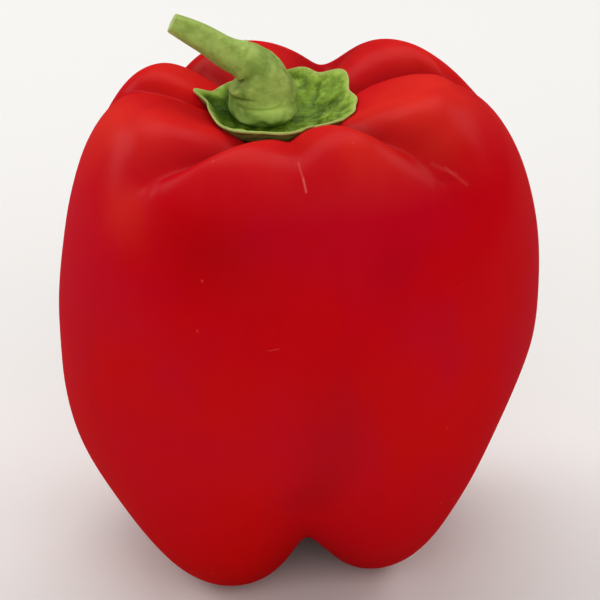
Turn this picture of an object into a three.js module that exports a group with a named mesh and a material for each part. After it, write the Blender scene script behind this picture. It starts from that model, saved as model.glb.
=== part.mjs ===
// Bell pepper: a red, blocky, four-footed fruit with a green calyx sunk in its top and a cut stem.
// Millimetres, +Z up, the front of the photograph towards -Y, the feet on the plane z = 0.
// An azimuth of 0 is the front and grows towards +X.

import * as THREE from "three";

// Overall levels of the fruit
const PIT_HEIGHT = 82.8;
const DIMPLE_HEIGHT = 15.0;

// The fruit leans: its axis passes through these points at the feet and at the shoulders
const AXIS_AT_FEET = { x: 2.09, y: -1.39 };
const AXIS_AT_SHOULDERS = { x: -4.41, y: 3.61 };
const SHOULDER_LEVEL = 95.0;

// Lobes of the wall. crest is the rounded shoulder, girth the widest place, and square says how
// blocky the profile stays below the girth.
const LOBES = [
  { azimuth: -78, crestHeight: 89.8, crestRadius: 25.1, girthRadius: 45.2, girthHeight: 39.7, square: 1.71 },
  { azimuth: -16, crestHeight: 88.8, crestRadius: 21.5, girthRadius: 44.9, girthHeight: 32.0, square: 2.25 },
  { azimuth: 30, crestHeight: 92.1, crestRadius: 23.1, girthRadius: 43.4, girthHeight: 39.7, square: 1.93 },
  { azimuth: 82, crestHeight: 93.4, crestRadius: 29.9, girthRadius: 47.2, girthHeight: 60.5, square: 1.38 },
  { azimuth: 132, crestHeight: 92.8, crestRadius: 28.7, girthRadius: 44.7, girthHeight: 57.0, square: 1.73 },
  { azimuth: 198, crestHeight: 91.2, crestRadius: 21.4, girthRadius: 41.9, girthHeight: 50.8, square: 2 },
  { azimuth: -118, crestHeight: 92.2, crestRadius: 24.4, girthRadius: 41.1, girthHeight: 30.5, square: 1.96 },
];
const LOBE_FOCUS = 9.0;

// Feet under the fruit, and how far out each stands
const FEET = [
  { azimuth: -47.5, radius: 20.4 },
  { azimuth: 61, radius: 12.8 },
  { azimuth: 141, radius: 17.2 },
  { azimuth: -127, radius: 16.0 },
];
const FEET_FOCUS = 3.0;
const FOOT_SINK = 0.5;

// Below the girth the wall turns over this much of the quarter turn from round to blocky
const GIRTH_ROUNDING = 0.8;

// Folds of the shoulders. Each starts in the pit at one azimuth, has turned to another at a share
// of the profile, and runs out further down. left and right are its half widths.
const FOLD_START = 0.1;
const SHOULDER_FOLDS = [
  { from: 8, to: 8, turned: 0.34, runsOut: 0.34, left: 34, right: 38, depth: 3.5 },
  { from: 42, to: 57, turned: 0.34, runsOut: 0.38, left: 20, right: 30, depth: 7.5 },
  { from: 120, to: 102, turned: 0.2, runsOut: 0.39, left: 26, right: 27, depth: 7.0 },
  { from: 157, to: 173, turned: 0.41, runsOut: 0.45, left: 40, right: 36, depth: 11.7 },
  { from: -141, to: -132, turned: 0.4, runsOut: 0.4, left: 24, right: 36, depth: 7.7 },
  { from: -96, to: -101, turned: 0.33, runsOut: 0.35, left: 14, right: 19, depth: 3.1 },
  { from: -16, to: -54, turned: 0.29, runsOut: 0.31, left: 40, right: 16, depth: 7.0 },
];
const FOLD_SHARPNESS = 2.0;
const FOLD_SOFTNESS = 0.12;
const FOLD_OPENING = 0.3;

// Valleys between the feet: a notch under the fruit with a broad, shallow hollow in the side above
const FOOT_VALLEYS = [
  { azimuth: 0.5, left: 53, right: 50, hollow: 10.5, notch: 15.0 },
  { azimuth: 100, left: 30, right: 30, hollow: 4.9, notch: 11.0 },
  { azimuth: 182, left: 34, right: 34, hollow: 9.8, notch: 11.0 },
  { azimuth: -92, left: 22, right: 26, hollow: 4.9, notch: 11.0 },
];
const NOTCH_SOFTNESS = 0.05;
const DIMPLE_SOFTNESS = 0.3;
const HOLLOW_SOFTNESS = 0.3;
const HOLLOW_SPAN = { start: 0.34, full: 0.7, fade: 0.78, end: 0.92 };

// Shares of the profile, from the pit at 0 to the dimple at 1
const CREST_AT = 0.16;
const GIRTH_AT = 0.46;
const FOOT_AT = 0.88;

// Calyx: a thin green dish that lies in the pit
const CALYX_RADIUS = 13.0;
const CALYX_RIM_HEIGHT = 87.8;
const CALYX_FLOOR_HEIGHT = 83.15;
const CALYX_BOWL_POWER = 2.5;
const CALYX_CENTRE_THICKNESS = 1.9;
const CALYX_RIM_THICKNESS = 0.85;
const CALYX_THICK_SHARE = 0.6;
const CALYX_RIM_ROUNDING = 0.3;
const PUCKER_HEIGHT = 0.4;
const PUCKER_COUNT = 9;
const PUCKER_START = 0.55;
const SEAT_GAP = 0.35;

// Teeth of the calyx rim: how far each reaches out and how far it curls up
const TEETH = [
  { azimuth: -101, halfWidth: 7, reach: 2.3, curl: 0.8 },
  { azimuth: -36, halfWidth: 22, reach: 2.1, curl: 0.0 },
  { azimuth: 4, halfWidth: 16, reach: 1.2, curl: 0.0 },
  { azimuth: 66, halfWidth: 16, reach: 1.9, curl: 0.2 },
  { azimuth: 96, halfWidth: 14, reach: 1.4, curl: 0.3 },
  { azimuth: 132, halfWidth: 15, reach: 3.2, curl: 1.9 },
  { azimuth: 163, halfWidth: 12, reach: 2.4, curl: 0.8 },
  { azimuth: -165, halfWidth: 16, reach: 1.4, curl: 0.5 },
  { azimuth: -130, halfWidth: 14, reach: -0.5, curl: 0.4 },
];

// Stem sections from the swollen base to the cut end. Each is an ellipse whose long side runs
// from the inner edge of the bend to the outer edge, with a half depth across it.
const STEM_SECTIONS = [
  { inner: [-9.8, 85.6], outer: [-2.5, 85.6], y: 4.0, halfDepth: 3.8 },
  { inner: [-11.6, 87.4], outer: [-0.8, 87.1], y: 4.0, halfDepth: 5.5 },
  { inner: [-12.7, 88.7], outer: [-0.1, 89.2], y: 4.0, halfDepth: 6.2 },
  { inner: [-12.6, 90.0], outer: [-0.9, 92.2], y: 4.0, halfDepth: 5.9 },
  { inner: [-12.3, 91.2], outer: [-2.5, 95.0], y: 4.1, halfDepth: 5.4 },
  { inner: [-11.9, 92.2], outer: [-4.7, 97.4], y: 4.2, halfDepth: 4.9 },
  { inner: [-11.9, 93.0], outer: [-7.6, 99.1], y: 4.3, halfDepth: 4.2 },
  { inner: [-12.7, 93.7], outer: [-10.2, 99.7], y: 4.5, halfDepth: 3.4 },
  { inner: [-14.6, 94.7], outer: [-12.5, 100.3], y: 4.9, halfDepth: 2.8 },
  { inner: [-18.3, 97.3], outer: [-16.6, 102.4], y: 5.5, halfDepth: 2.4 },
  { inner: [-21.2, 99.1], outer: [-19.6, 103.5], y: 6.0, halfDepth: 2.1 },
  { inner: [-24.3, 101.1], outer: [-22.7, 104.4], y: 6.5, halfDepth: 1.7 },
];
const STEM_CAP_SHARE = 0.07;
const STEM_EDGE_SCALE = 0.93;

// Creases and bulges of the stem's base: where round it, where along it from the cut end, how far
// they reach each way, and their height
const STEM_FOLDS = [
  { azimuth: -70, along: 0.53, halfWidth: 55, halfLength: 0.022, height: -1.1 },
  { azimuth: -50, along: 0.63, halfWidth: 42, halfLength: 0.055, height: 0.7 },
  { azimuth: 28, along: 0.83, halfWidth: 38, halfLength: 0.026, height: 0.8 },
  { azimuth: 22, along: 0.785, halfWidth: 45, halfLength: 0.018, height: -0.7 },
  { azimuth: -25, along: 0.73, halfWidth: 25, halfLength: 0.018, height: -0.5 },
];

// Facets round and along each piece
const FRUIT_FACETS = { around: 100, along: 54 };
const CALYX_FACETS = { around: 63, along: 25 };
const STEM_FACETS = { around: 24, along: 56 };

const radians = (degrees) => (degrees * Math.PI) / 180;
const clamp = (value) => Math.min(1, Math.max(0, value));
const mix = (from, to, share) => from + (to - from) * share;
const ease = (share) => share * share * (3 - 2 * share);
const shareBetween = (value, start, end) => clamp((value - start) / (end - start));

// Shortest turn from one azimuth to another, between minus and plus half a circle
function turnBetween(azimuth, other) {
  const full = 2 * Math.PI;
  const turn = azimuth - other + Math.PI;
  return turn - full * Math.floor(turn / full) - Math.PI;
}

// A property of the rows placed round the axis, blended smoothly from one row to the next
function blendAround(azimuth, rows, property, focus) {
  let total = 0;
  let weights = 0;
  for (const row of rows) {
    const weight = Math.exp(focus * (Math.cos(azimuth - radians(row.azimuth)) - 1));
    total += weight * row[property];
    weights += weight;
  }
  return total / weights;
}

// Share of a fold's depth at an azimuth, deepest at its centre and easing out over its half widths
function foldShare(azimuth, centre, fold, softness) {
  const turn = turnBetween(azimuth, radians(centre));
  const halfWidth = radians(turn < 0 ? fold.left : fold.right);
  const distance = Math.min(1, Math.hypot(turn / halfWidth, softness));
  return (1 - distance) ** 2 / (1 + FOLD_SHARPNESS * distance);
}

// Depth of the shoulder folds at a place. They open and flatten as they run down the side.
function shoulderDepth(azimuth, along) {
  const softness = FOLD_SOFTNESS + FOLD_OPENING * shareBetween(along, CREST_AT, GIRTH_AT);
  return SHOULDER_FOLDS.reduce((sum, fold) => {
    const centre = mix(fold.from, fold.to, shareBetween(along, FOLD_START, fold.turned));
    const deepens = ease(shareBetween(along, 0, CREST_AT));
    const fades = 1 - ease(shareBetween(along, CREST_AT, fold.runsOut));
    return sum + fold.depth * deepens * fades * foldShare(azimuth, centre, fold, softness);
  }, 0);
}

function sumValleys(azimuth, property, softness) {
  return FOOT_VALLEYS.reduce((sum, valley) => {
    return sum + valley[property] * foldShare(azimuth, valley.azimuth, valley, softness);
  }, 0);
}

// Depth of the hollows in the side, above the notches between the feet
function hollowDepth(azimuth, along) {
  const deepens = ease(shareBetween(along, HOLLOW_SPAN.start, HOLLOW_SPAN.full));
  const fades = 1 - ease(shareBetween(along, HOLLOW_SPAN.fade, HOLLOW_SPAN.end));
  return deepens * fades * sumValleys(azimuth, "hollow", HOLLOW_SOFTNESS);
}

// The fruit's axis at a height
function axisAt(height) {
  const share = clamp(height / SHOULDER_LEVEL);
  return {
    x: mix(AXIS_AT_FEET.x, AXIS_AT_SHOULDERS.x, share),
    y: mix(AXIS_AT_FEET.y, AXIS_AT_SHOULDERS.y, share),
  };
}

// The fruit's wall before its folds: radius, height, and how far it has leaned over, from 0 on top
// of the shoulder to a quarter turn at the side
function wallProfile(azimuth, along) {
  const crestRadius = blendAround(azimuth, LOBES, "crestRadius", LOBE_FOCUS);
  const crestHeight = blendAround(azimuth, LOBES, "crestHeight", LOBE_FOCUS);
  if (along <= CREST_AT) {
    const share = along / CREST_AT;
    return { radius: crestRadius * share, height: mix(PIT_HEIGHT, crestHeight, ease(share)), lean: 0 };
  }
  const quarter = Math.PI / 2;
  const girthRadius = blendAround(azimuth, LOBES, "girthRadius", LOBE_FOCUS);
  const girthHeight = blendAround(azimuth, LOBES, "girthHeight", LOBE_FOCUS);
  if (along <= GIRTH_AT) {
    const lean = quarter * shareBetween(along, CREST_AT, GIRTH_AT);
    return {
      radius: mix(crestRadius, girthRadius, Math.sin(lean)),
      height: mix(girthHeight, crestHeight, Math.cos(lean)),
      lean,
    };
  }
  const footRadius = blendAround(azimuth, FEET, "radius", FEET_FOCUS);
  const notchSoftness = NOTCH_SOFTNESS + DIMPLE_SOFTNESS * shareBetween(along, FOOT_AT, 1);
  const footHeight = sumValleys(azimuth, "notch", notchSoftness) - FOOT_SINK;
  if (along <= FOOT_AT) {
    const angle = quarter * shareBetween(along, GIRTH_AT, FOOT_AT);
    const blockyPower = 2 / blendAround(azimuth, LOBES, "square", LOBE_FOCUS);
    const power = mix(1, blockyPower, ease(clamp(angle / GIRTH_ROUNDING)));
    return {
      radius: mix(footRadius, girthRadius, Math.max(0, Math.cos(angle)) ** power),
      height: mix(girthHeight, footHeight, Math.sin(angle) ** power),
      lean: quarter,
    };
  }
  const share = (1 - along) / (1 - FOOT_AT);
  return { radius: footRadius * share, height: mix(DIMPLE_HEIGHT, footHeight, ease(share)), lean: quarter };
}

// Radius and height of the fruit's profile, with the folds sunk into the wall
function fruitProfile(azimuth, along) {
  const wall = wallProfile(azimuth, along);
  const fold = wall.lean < Math.PI / 2 ? shoulderDepth(azimuth, along) : 0;
  return {
    radius: wall.radius - fold * Math.sin(wall.lean) - hollowDepth(azimuth, along),
    height: wall.height - fold * Math.cos(wall.lean),
  };
}

// A point on the fruit. Feet that would sink through the ground end in a small flat spot.
function fruitPoint(azimuth, along) {
  const { radius, height } = fruitProfile(azimuth, along);
  const axis = axisAt(height);
  return new THREE.Vector3(
    axis.x + radius * Math.sin(azimuth),
    axis.y - radius * Math.cos(azimuth),
    Math.max(0, height),
  );
}

function sumTeeth(azimuth, property) {
  return TEETH.reduce((sum, tooth) => {
    const distance = turnBetween(azimuth, radians(tooth.azimuth)) / radians(tooth.halfWidth);
    return sum + tooth[property] * Math.exp(-distance * distance);
  }, 0);
}

// A point of the calyx: outwards 0 to 1 from its centre to its rim, lift 0 on the underside and
// 1 on the top. The underside keeps a small gap to the fruit below it.
function calyxPoint(azimuth, outwards, lift, overhang) {
  const rimRadius = CALYX_RADIUS + sumTeeth(azimuth, "reach");
  const rimHeight = CALYX_RIM_HEIGHT + sumTeeth(azimuth, "curl");
  const crestRadius = blendAround(azimuth, LOBES, "crestRadius", LOBE_FOCUS);
  const radius = rimRadius * outwards + overhang;
  const below = fruitPoint(azimuth, (CREST_AT * radius) / crestRadius);
  const bowl = mix(CALYX_FLOOR_HEIGHT, rimHeight, outwards ** CALYX_BOWL_POWER);
  const underside = Math.max(bowl, below.z + SEAT_GAP);
  const centreShare = 1 - ease(clamp(outwards / CALYX_THICK_SHARE));
  const thickness = mix(CALYX_RIM_THICKNESS, CALYX_CENTRE_THICKNESS, centreShare);
  const puckerShare = Math.sin(Math.PI * clamp((outwards - PUCKER_START) / (1 - PUCKER_START)));
  const pucker = Math.cos(PUCKER_COUNT * azimuth + 1.5 * Math.sin(2 * azimuth));
  const top = thickness + PUCKER_HEIGHT * puckerShare * pucker;
  return new THREE.Vector3(below.x, below.y, underside + lift * top);
}

// The calyx surface runs from the top centre, round the rim and back under to the centre
function calyxSurface(azimuth, along) {
  const topEnd = 0.56;
  const undersideStart = 0.64;
  if (along <= topEnd) {
    return calyxPoint(azimuth, along / topEnd, 1, 0);
  }
  if (along < undersideStart) {
    return calyxPoint(azimuth, 1, 0.5, CALYX_RIM_ROUNDING);
  }
  return calyxPoint(azimuth, (1 - along) / (1 - undersideStart), 0, 0);
}

// Smooth curve through the stem sections, with one value per section given by the reader function
function alongStem(share, read) {
  const last = STEM_SECTIONS.length - 1;
  const place = clamp(share) * last;
  const index = Math.min(Math.floor(place), last - 1);
  const step = place - index;
  const value = (offset) => read(STEM_SECTIONS[Math.min(last, Math.max(0, index + offset))]);
  const [before, from, to, after] = [value(-1), value(0), value(1), value(2)];
  const slope = to - before;
  const bend = 2 * before - 5 * from + 4 * to - after;
  const twist = 3 * from - before - 3 * to + after;
  return 0.5 * (2 * from + slope * step + bend * step ** 2 + twist * step ** 3);
}

// Height of the creases and bulges at a place on the stem's side
function stemSwelling(azimuth, along) {
  return STEM_FOLDS.reduce((sum, fold) => {
    const roundIt = turnBetween(azimuth, radians(fold.azimuth)) / radians(fold.halfWidth);
    const alongIt = (along - fold.along) / fold.halfLength;
    return sum + fold.height * Math.exp(-roundIt * roundIt - alongIt * alongIt);
  }, 0);
}

function stemPoint(angle, share, scale, swelling) {
  const innerX = alongStem(share, (section) => section.inner[0]);
  const innerZ = alongStem(share, (section) => section.inner[1]);
  const outerX = alongStem(share, (section) => section.outer[0]);
  const outerZ = alongStem(share, (section) => section.outer[1]);
  const halfDepth = alongStem(share, (section) => section.halfDepth);
  const swollen = scale * (1 + swelling / halfDepth);
  const across = swollen * Math.cos(angle);
  return new THREE.Vector3(
    (innerX + outerX) / 2 + ((outerX - innerX) / 2) * across,
    alongStem(share, (section) => section.y) + halfDepth * swollen * Math.sin(angle),
    (innerZ + outerZ) / 2 + ((outerZ - innerZ) / 2) * across,
  );
}

// The stem surface runs from the centre of the cut end, down the side and in under the base
function stemSurface(azimuth, along) {
  const angle = azimuth - Math.PI / 2;
  if (along < STEM_CAP_SHARE) {
    return stemPoint(angle, 1, (STEM_EDGE_SCALE * along) / STEM_CAP_SHARE, 0);
  }
  if (along > 1 - STEM_CAP_SHARE) {
    return stemPoint(angle, 0, (STEM_EDGE_SCALE * (1 - along)) / STEM_CAP_SHARE, 0);
  }
  const share = 1 - (along - STEM_CAP_SHARE) / (1 - 2 * STEM_CAP_SHARE);
  return stemPoint(angle, share, 1, stemSwelling(azimuth, along));
}

// A closed skin: a ball whose points are moved to where the surface function puts them
function closedSkin(surface, facets) {
  const geometry = new THREE.SphereGeometry(1, facets.around, facets.along);
  const position = geometry.getAttribute("position");
  const uv = geometry.getAttribute("uv");
  for (let index = 0; index < position.count; index += 1) {
    const azimuth = 2 * Math.PI * uv.getX(index) - Math.PI / 2;
    const point = surface(azimuth, 1 - uv.getY(index));
    position.setXYZ(index, point.x, point.y, point.z);
  }
  geometry.computeVertexNormals();
  return geometry;
}

function makeMesh(name, geometry, color, roughness) {
  const material = new THREE.MeshStandardMaterial({ color, roughness, metalness: 0 });
  material.name = name;
  const mesh = new THREE.Mesh(geometry, material);
  mesh.name = name;
  return mesh;
}

function makeFruit() {
  return makeMesh("fruit", closedSkin(fruitPoint, FRUIT_FACETS), "#b4060f", 0.3);
}

function makeCalyx() {
  return makeMesh("calyx", closedSkin(calyxSurface, CALYX_FACETS), "#6f8d32", 0.6);
}

function makeStem() {
  return makeMesh("stem", closedSkin(stemSurface, STEM_FACETS), "#8c9d4e", 0.65);
}

const pepper = new THREE.Group();
pepper.name = "bell_pepper";
pepper.add(makeFruit(), makeCalyx(), makeStem());

export default pepper;
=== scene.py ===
# The looks of the bell pepper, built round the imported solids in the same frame.
# Formulas are in millimetres and meshes in metres. Azimuth 0 is the front and grows towards +X.
# A surface's second value, along, is the share of its profile: from the pit to the dimple on the fruit, from
# the top centre round the rim and back under on the calyx, and from the cut end to the base on the stem.

import math

import bpy
import numpy as np
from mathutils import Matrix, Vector


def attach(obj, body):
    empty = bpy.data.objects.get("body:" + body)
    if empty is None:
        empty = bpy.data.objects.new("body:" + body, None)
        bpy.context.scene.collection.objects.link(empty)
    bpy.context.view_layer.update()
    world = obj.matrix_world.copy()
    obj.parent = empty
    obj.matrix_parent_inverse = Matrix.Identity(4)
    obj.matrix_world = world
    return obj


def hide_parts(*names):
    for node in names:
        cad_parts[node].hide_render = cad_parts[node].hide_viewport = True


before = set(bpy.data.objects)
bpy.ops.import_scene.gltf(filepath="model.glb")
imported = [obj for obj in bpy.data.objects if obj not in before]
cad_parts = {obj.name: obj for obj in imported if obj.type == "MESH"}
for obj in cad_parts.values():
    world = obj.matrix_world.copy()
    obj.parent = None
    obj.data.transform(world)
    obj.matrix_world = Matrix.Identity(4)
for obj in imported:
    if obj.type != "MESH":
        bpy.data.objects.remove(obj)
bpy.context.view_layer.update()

MM = 0.001

# The fruit's wall, lobe by lobe: the rounded shoulder, the widest place, and how boxy it is below
PIT_HEIGHT = 82.8
DIMPLE_HEIGHT = 15.0
AXIS_AT_FEET = (2.09, -1.39)
AXIS_AT_SHOULDERS = (-4.41, 3.61)
SHOULDER_LEVEL = 95.0
LOBES = [
    dict(azimuth=-78, crest_height=89.8, crest_radius=25.1, girth_radius=45.2, girth_height=39.7, boxy=1.71),
    dict(azimuth=-16, crest_height=88.8, crest_radius=21.5, girth_radius=44.9, girth_height=32.0, boxy=2.25),
    dict(azimuth=30, crest_height=92.1, crest_radius=23.1, girth_radius=43.4, girth_height=39.7, boxy=1.93),
    dict(azimuth=82, crest_height=93.4, crest_radius=29.9, girth_radius=47.2, girth_height=60.5, boxy=1.38),
    dict(azimuth=132, crest_height=92.8, crest_radius=28.7, girth_radius=44.7, girth_height=57.0, boxy=1.73),
    dict(azimuth=198, crest_height=91.2, crest_radius=21.4, girth_radius=41.9, girth_height=50.8, boxy=2),
    dict(azimuth=-118, crest_height=92.2, crest_radius=24.4, girth_radius=41.1, girth_height=30.5, boxy=1.96),
]
LOBE_FOCUS = 9.0
FEET = [
    dict(azimuth=-47.5, radius=20.4),
    dict(azimuth=61, radius=12.8),
    dict(azimuth=141, radius=17.2),
    dict(azimuth=-127, radius=16.0),
]
FEET_FOCUS = 3.0
FOOT_SINK = 0.5
GIRTH_ROUNDING = 0.8
# Shares of the profile at which the crest of the shoulder, the girth and the foot lie
CREST_AT, GIRTH_AT, FOOT_AT = 0.16, 0.46, 0.88

# Folds of the shoulders: each starts in the pit, has turned to another azimuth at a share of the
# profile, and runs out further down
FOLD_START = 0.1
SHOULDER_FOLDS = [
    dict(start=8, end=8, turned=0.34, runs_out=0.34, left=34, right=38, depth=3.5),
    dict(start=42, end=57, turned=0.34, runs_out=0.38, left=20, right=30, depth=7.5),
    dict(start=120, end=102, turned=0.2, runs_out=0.39, left=26, right=27, depth=7.0),
    dict(start=157, end=173, turned=0.41, runs_out=0.45, left=40, right=36, depth=11.7),
    dict(start=-141, end=-132, turned=0.4, runs_out=0.4, left=24, right=36, depth=7.7),
    dict(start=-96, end=-101, turned=0.33, runs_out=0.35, left=14, right=19, depth=3.1),
    dict(start=-16, end=-54, turned=0.29, runs_out=0.31, left=40, right=16, depth=7.0),
]
FOLD_SHARPNESS = 2.0
FOLD_SOFTNESS = 0.09
FOLD_OPENING = 0.22
# Valleys between the feet: a notch under the fruit with a broad, shallow hollow in the side above
FOOT_VALLEYS = [
    dict(azimuth=0.5, left=53, right=50, hollow=10.5, notch=15.0),
    dict(azimuth=100, left=30, right=30, hollow=4.9, notch=11.0),
    dict(azimuth=182, left=34, right=34, hollow=9.8, notch=11.0),
    dict(azimuth=-92, left=22, right=26, hollow=4.9, notch=11.0),
]
NOTCH_SOFTNESS = 0.05
DIMPLE_SOFTNESS = 0.3
HOLLOW_SOFTNESS = 0.3
HOLLOW_START, HOLLOW_FULL, HOLLOW_FADE, HOLLOW_END = 0.34, 0.7, 0.78, 0.92

# Marks on the skin: fine crinkles where folds run out
CRINKLES = [
    dict(azimuth=56, along=0.285, half_width=5, length=0.03, strength=1.0),
    dict(azimuth=-44, along=0.25, half_width=6, length=0.03, strength=0.4),
    dict(azimuth=8, along=0.15, half_width=12, length=0.03, strength=0.5),
]
# Broad darker patches. The three down the valley above the front notch and the one in the hollow at the back
# are painted shade; the rest are darker blotches.
DARK_AND_SHADE_PATCHES = [
    dict(azimuth=-21, along=0.300, half_width=17, length=0.035, strength=0.35),
    dict(azimuth=31, along=0.335, half_width=7, length=0.020, strength=0.18),
    dict(azimuth=11, along=0.430, half_width=9, length=0.035, strength=0.18),
    dict(azimuth=7, along=0.470, half_width=9, length=0.035, strength=0.22),
    dict(azimuth=3, along=0.515, half_width=8, length=0.035, strength=0.26),
    dict(azimuth=176, along=0.500, half_width=14, length=0.070, strength=0.18),
    dict(azimuth=-128, along=0.330, half_width=20, length=0.040, strength=0.30),
]
# Painted sheen: paler patches high on the shoulders
SHEEN_PATCHES = [
    dict(azimuth=-78, along=0.220, half_width=18, length=0.060, strength=0.80),
    dict(azimuth=-50, along=0.290, half_width=9, length=0.030, strength=0.50),
    dict(azimuth=60, along=0.235, half_width=13, length=0.040, strength=0.55),
    dict(azimuth=150, along=0.200, half_width=18, length=0.040, strength=0.40),
]
# Pale lines: three healed scratches, then two painted glints along the crinkles where the fold at the right
# runs out.
# For each, the azimuth and share along of both ends, half the width in millimetres, and how much it shows
SCRATCHES_AND_GLINTS = [
    dict(start=(8.1, 0.1990), end=(8.7, 0.2300), half_width=0.24, strength=0.32),
    dict(start=(8.7, 0.2300), end=(8.9, 0.2470), half_width=0.30, strength=0.55),
    dict(start=(-5.0, 0.3705), end=(-2.2, 0.3700), half_width=0.14, strength=0.20),
    dict(start=(53.6, 0.2590), end=(57.6, 0.2890), half_width=0.40, strength=0.10),
    dict(start=(56.0, 0.2740), end=(58.8, 0.3060), half_width=0.34, strength=0.13),
]
# A line is at full strength over this share of its half width, and only this share of depth in y counts
LINE_CORE, LINE_DEPTH_SHARE = 0.2, 0.2
# Painted shade: the skin is painted a deeper red down in folds and valleys, this strong where they are this
# deep
VALLEY_SHADE, VALLEY_FULL_DEPTH = 0.5, 4.0
# The skin's swells come in over this share along, clear of the calyx, and this height off the ground
SWELLS_PAST_CALYX = (0.07, 0.12)
SWELLS_OFF_GROUND = (0.4, 3.4)

# The calyx dish
CALYX_RADIUS = 13.0
CALYX_RIM_HEIGHT = 87.8
CALYX_FLOOR_HEIGHT = 83.15
CALYX_BOWL_POWER = 2.5
CALYX_CENTRE_THICKNESS, CALYX_RIM_THICKNESS, CALYX_THICK_SHARE = 1.9, 0.6, 0.6
CALYX_RIM_ROUNDING = 0.25
# Out of sight, the fruit under the calyx and the calyx's underside lie this much lower
HIDDEN_SINK, HIDDEN_UNDERSIDE = 1.3, 0.9
HIDDEN_WITHIN, HIDDEN_UNTIL = 0.8, 0.93
UNDERSIDE_SUNK_WITHIN = 0.85
CALYX_TOP_END, CALYX_UNDERSIDE_START = 0.66, 0.72
# Puckers, broad and fine: how high, how many round the dish, and the share of the way out at which they
# start. Each sways: how wide, how often round the dish, and how far the sway turns on the way out.
PUCKERS = [
    dict(height=0.4, count=9, start=0.5, sways=[(1.5, 2, 0)]),
    dict(height=0.22, count=21, start=0.35, sways=[(2.2, 3, 4), (1.3, 5, -6)]),
]
SEAT_GAP = 0.1
TEETH = [
    dict(azimuth=-101, half_width=6, reach=2.8, curl=1.3),
    dict(azimuth=-36, half_width=22, reach=2.1, curl=0.0),
    dict(azimuth=4, half_width=16, reach=1.2, curl=0.0),
    dict(azimuth=66, half_width=16, reach=1.9, curl=0.2),
    dict(azimuth=96, half_width=14, reach=1.4, curl=0.3),
    dict(azimuth=132, half_width=15, reach=3.2, curl=1.9),
    dict(azimuth=163, half_width=12, reach=2.4, curl=0.8),
    dict(azimuth=-165, half_width=16, reach=1.4, curl=0.5),
    dict(azimuth=-130, half_width=14, reach=-0.5, curl=0.4),
]
# The calyx's relief fades to this much over the last share of the way out to the rim
CALYX_RIM_RELIEF, CALYX_RELIEF_FADES = 0.2, (0.82, 1.0)
# The rim has dried pale over the last share of the way out, unevenly, and the underside a little
RIM_PALES = (0.965, 1.0)
RIM_PALENESS, RIM_UNEVENNESS, UNDERSIDE_PALENESS = 0.75, 0.2, 0.3
RIM_UNEVEN_COUNTS, RIM_UNEVEN_TURN = (7, 17), 1
# Painted light and shade on the dish, from -1 deep to 1 bright, and the shares of the way out over which each
# comes in: painted shade by the stem, in the left hollow and underneath, and painted light towards the rim
STEM_SHADE = dict(painted_shading=-0.35, comes_in=(0.7, 0.35))
RIM_GLOW = dict(painted_shading=0.5, comes_in=(0.88, 1.0))
LEFT_HOLLOW_SHADE = dict(painted_shading=-0.9, comes_in=(0.98, 0.85), azimuth=-98, half_width=45)
UNDERSIDE_SHADE, UNDERSIDE_SHADE_START = -0.9, 0.70

# Stem sections from the base to the cut end: inner edge x and z, outer edge x and z, y, half depth
STEM_SECTIONS = [
    (-11.6, 84.4, -2.3, 84.4, 4.0, 4.6),
    (-13.0, 86.2, -0.5, 86.2, 4.0, 6.1),
    (-13.1, 88.7, -0.1, 89.2, 4.0, 6.3),
    (-13.1, 90.0, -0.9, 92.2, 4.0, 6.0),
    (-12.8, 91.2, -2.5, 95.0, 4.1, 5.5),
    (-11.9, 92.2, -4.7, 97.4, 4.2, 4.9),
    (-11.9, 93.0, -7.6, 99.1, 4.3, 4.2),
    (-12.7, 93.7, -10.2, 99.7, 4.5, 3.4),
    (-14.6, 94.7, -12.5, 100.3, 4.9, 2.8),
    (-18.3, 97.3, -16.6, 102.4, 5.5, 2.4),
    (-21.2, 99.1, -19.6, 103.5, 6.0, 2.1),
    (-24.3, 101.1, -22.7, 104.4, 6.5, 1.7),
]
STEM_CAP_SHARE = 0.07
STEM_EDGE_SCALE = 0.93
# Folds and bulges of the stem's base: where round it, where along it, and how far in or out
STEM_FOLDS = [
    dict(azimuth=-70, along=0.53, half_width=50, length=0.020, height=-1.0),
    dict(azimuth=-50, along=0.63, half_width=42, length=0.055, height=0.6),
    dict(azimuth=30, along=0.84, half_width=30, length=0.035, height=0.8),
    dict(azimuth=-30, along=0.86, half_width=17, length=0.028, height=0.6),
    dict(azimuth=5, along=0.78, half_width=38, length=0.014, height=-0.45),
    dict(azimuth=-30, along=0.71, half_width=20, length=0.016, height=-0.45),
    dict(azimuth=0, along=0.86, half_width=9, length=0.03, height=-0.5),
    dict(azimuth=95, along=0.40, half_width=60, length=0.012, height=0.35),
]
# Faint ribs run from the cut end to this share along
STEM_RIB_COUNT, STEM_RIB_HEIGHT, STEM_RIB_TURN, STEM_RIB_END = 5, 0.10, 1.0, 0.42
# The stem's relief is slight by the cut end, comes in towards the bend and is gone under the base
STEM_LEAST_RELIEF, STEM_RELIEF_COMES_IN, STEM_RELIEF_GOES = 0.12, (0.3, 0.5), (0.97, 0.92)
# The cut face has dried pale. Painted light and shade, as on the dish: a painted highlight on the bulge below
# the bend and painted shade at the foot.
CUT_FACE_PALENESS, CUT_FACE_FADE = 0.8, 0.01
STEM_BULGE_HIGHLIGHT = dict(azimuth=15, along=0.775, half_width=35, length=0.035, painted_shading=1.1)
STEM_FOOT_SHADE, STEM_FOOT_COMES_IN = -0.7, (0.82, 0.90)

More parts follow.
